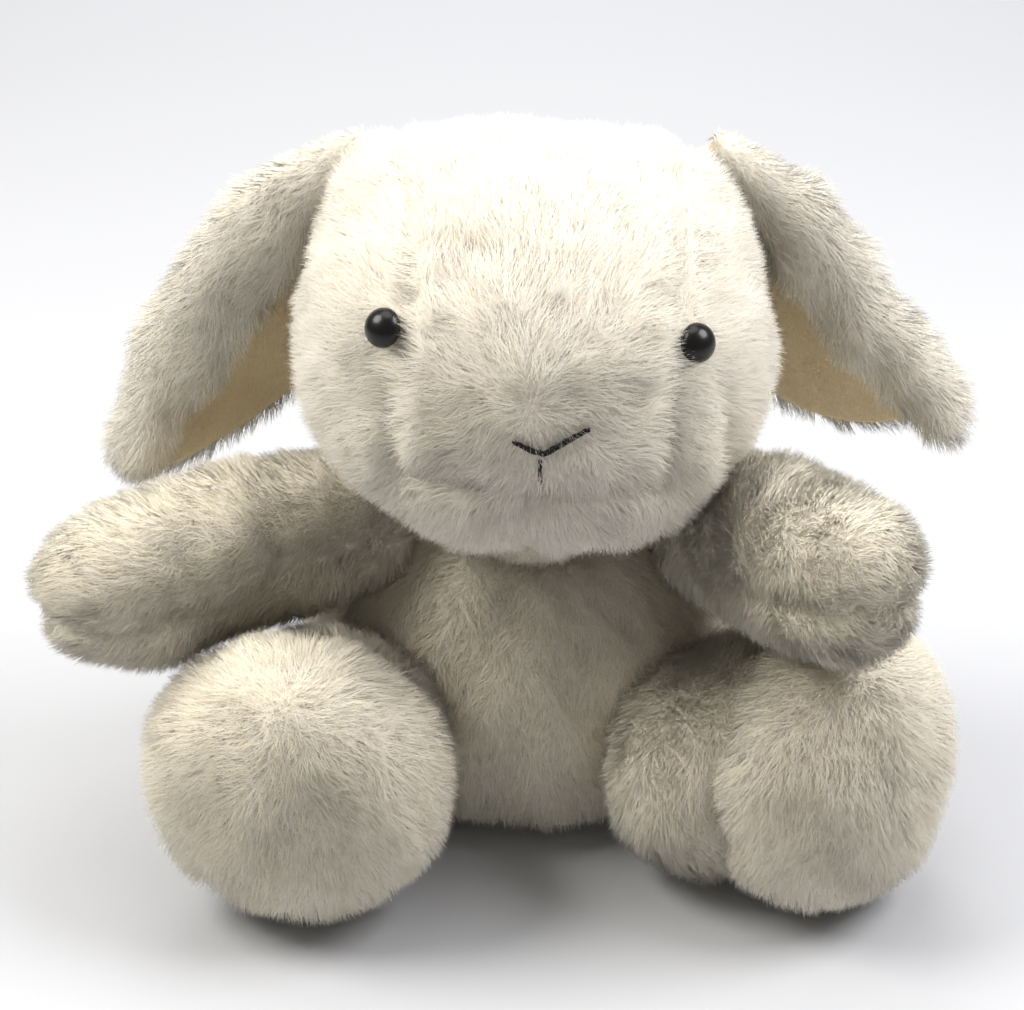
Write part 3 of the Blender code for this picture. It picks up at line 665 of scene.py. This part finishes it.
# ---------------------------------------------------------------- ears
class Sheet:
    """A layer of an ear, or an eye: the CAD node's own shape, made finer."""

    def __init__(self, name, node, body, material, slot, swell=None):
        self.body = body
        self.object = object_of(name, frame["nodes"][node].data.copy())
        weld = self.object.modifiers.new("Weld", "WELD")
        weld.merge_threshold = 0.00002
        finer = self.object.modifiers.new("Finer", "SUBSURF")
        finer.levels = finer.render_levels = 2
        applied(self.object)
        mesh = self.object.data
        if swell:
            points, normals, _ = arrays_of(mesh)
            points = points + normals * swell(points)[:, None]
            mesh.vertices.foreach_set("co", points.astype(np.float32).ravel())
            mesh.update()
        mesh.shade_smooth()
        mesh.materials.clear()
        mesh.materials.append(material)
        self.points, self.normals, self.corners = arrays_of(mesh)
        self.seam = np.full(len(self.points), NO_SEAM)
        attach(self.object, body)
        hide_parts(node)


for word in SIDES:
    root = joint_place(f"ear_lift_{word}")
    corners = arrays_of(frame["nodes"][f"ear_outer_{word}"].data)[0]
    tip = corners[np.linalg.norm(corners - root, axis=1).argmax()]
    lining_node = f"ear_lining_{word}"

    def plump(points):
        """The outer cloth bulges and ripples. Its inner side stays on the lining."""
        outside = np.clip((distances(points, [lining_node])[:, 0] - 0.0012) / 0.003, 0, 1)
        at_root = bump(np.linalg.norm(points - root, axis=1), 0.020)
        return outside * (0.0030 - 0.0025 * at_root + 0.0012 * waves(points, 0.013, 25))

    def pile_of_ear(points):
        """The pile is short where the ear is sewn to the head."""
        return 1 - 0.55 * bump(np.linalg.norm(points - root, axis=1), 0.022)

    def comb_ear(points, normals):
        """Along the ear, from its root to its tip."""
        return np.tile(unit(tip - root), (len(points), 1)) + 0.35 * unit(points - root)

    outer = Sheet(
        f"ear_skin_{word}", f"ear_outer_{word}", f"ear_{word}", BACKING, "cream_plush", plump
    )
    to_lining = distances(outer.points, [lining_node])[:, 0]
    grow(
        f"pile_ear_{word}", outer, to_lining > 0.0018, comb_ear, HEAD_TINTS,
        length=EAR_PILE, pile=pile_of_ear, seed=71,
    )
    lining = Sheet(
        f"ear_lining_skin_{word}", lining_node, f"ear_{word}", LINING_CLOTH, "ear_lining"
    )
    to_outer = distances(lining.points, [f"ear_outer_{word}"])[:, 0]
    grow(
        f"pile_lining_{word}", lining, to_outer > 0.0010, comb_ear, LINING_TINTS,
        length=LINING_PILE, width=0.00028, lean=50, gather=0.2, seed=75,
    )

# ---------------------------------------------------------------- eyes
for word in SIDES:
    Sheet(f"eye_bead_{word}", f"eye_{word}", "head", EYE_GLOSS, "black_eye")

# ---------------------------------------------------------------- CAD pieces that are shown
KEPT = {"eye_washer_right": WASHER, "eye_washer_left": WASHER, "seat_pellet_bag": PELLET_CLOTH}
for name, finish in KEPT.items():
    kept_mesh = frame["nodes"][name].data
    kept_mesh.materials.clear()
    kept_mesh.materials.append(finish)

# ---------------------------------------------------------------- floor, light and camera
floor_mesh = bpy.data.meshes.new("floor")
FLOOR_HALF = 9
floor_corners = [
    (x * FLOOR_HALF, y * FLOOR_HALF, 0) for x, y in ((-1, -1), (1, -1), (1, 1), (-1, 1))
]
floor_mesh.from_pydata(floor_corners, [], [(0, 1, 2, 3)])
floor = object_of("floor", floor_mesh)
floor_finish, _ = shader_of("pale_floor", (0.56, 0.57, 0.60), 0.7, 0.2)
floor_mesh.materials.append(floor_finish)
floor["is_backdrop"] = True


def area_light(name, place, aim, size, power, colour):
    light = bpy.data.lights.new(name, "AREA")
    light.shape = "DISK"
    light.size = size
    light.energy = power
    light.color = colour
    made = object_of(name, light)
    made.location = place
    made.rotation_euler = (Vector(aim) - Vector(place)).to_track_quat("-Z", "Y").to_euler()


area_light("key", (-0.05, 0.14, 1.30), (0, 0.0, 0.10), 1.0, 6.5, (1.0, 0.99, 0.97))
area_light("back_wash", (0, 1.7, 1.2), (0, 1.6, 0), 1.2, 20, (1.0, 1.0, 1.0))
area_light("left_fill", (-0.72, -0.10, 0.85), (-0.05, 0, 0.12), 0.6, 10, (1.0, 0.97, 0.90))
area_light("right_fill", (0.72, -0.10, 0.85), (0.05, 0, 0.12), 0.6, 10, (0.99, 0.98, 0.98))
world = bpy.data.worlds.new("studio")
bpy.context.scene.world = world
world.use_nodes = True
sky = world.node_tree.nodes["Background"]
sky.inputs["Color"].default_value = (1.0, 0.97, 0.93, 1)
sky.inputs["Strength"].default_value = 0.24
bpy.context.scene.view_settings.view_transform = "Standard"

CAMERA_AIM = Vector((-0.007, -0.025, 0.106))
CAMERA_DISTANCE = 0.8
CAMERA_RISE = math.radians(28)
camera = bpy.data.cameras.new("camera")
camera.lens = 90
camera.sensor_width = 36
viewer = object_of("camera", camera)
back = Vector((0, -math.cos(CAMERA_RISE), math.sin(CAMERA_RISE)))
viewer.location = CAMERA_AIM + back * CAMERA_DISTANCE
viewer.rotation_euler = (-back).to_track_quat("-Z", "Y").to_euler()
bpy.context.scene.camera = viewer

bpy.context.view_layer.update()
corners = {"cad": cad_box, "visual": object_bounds()}
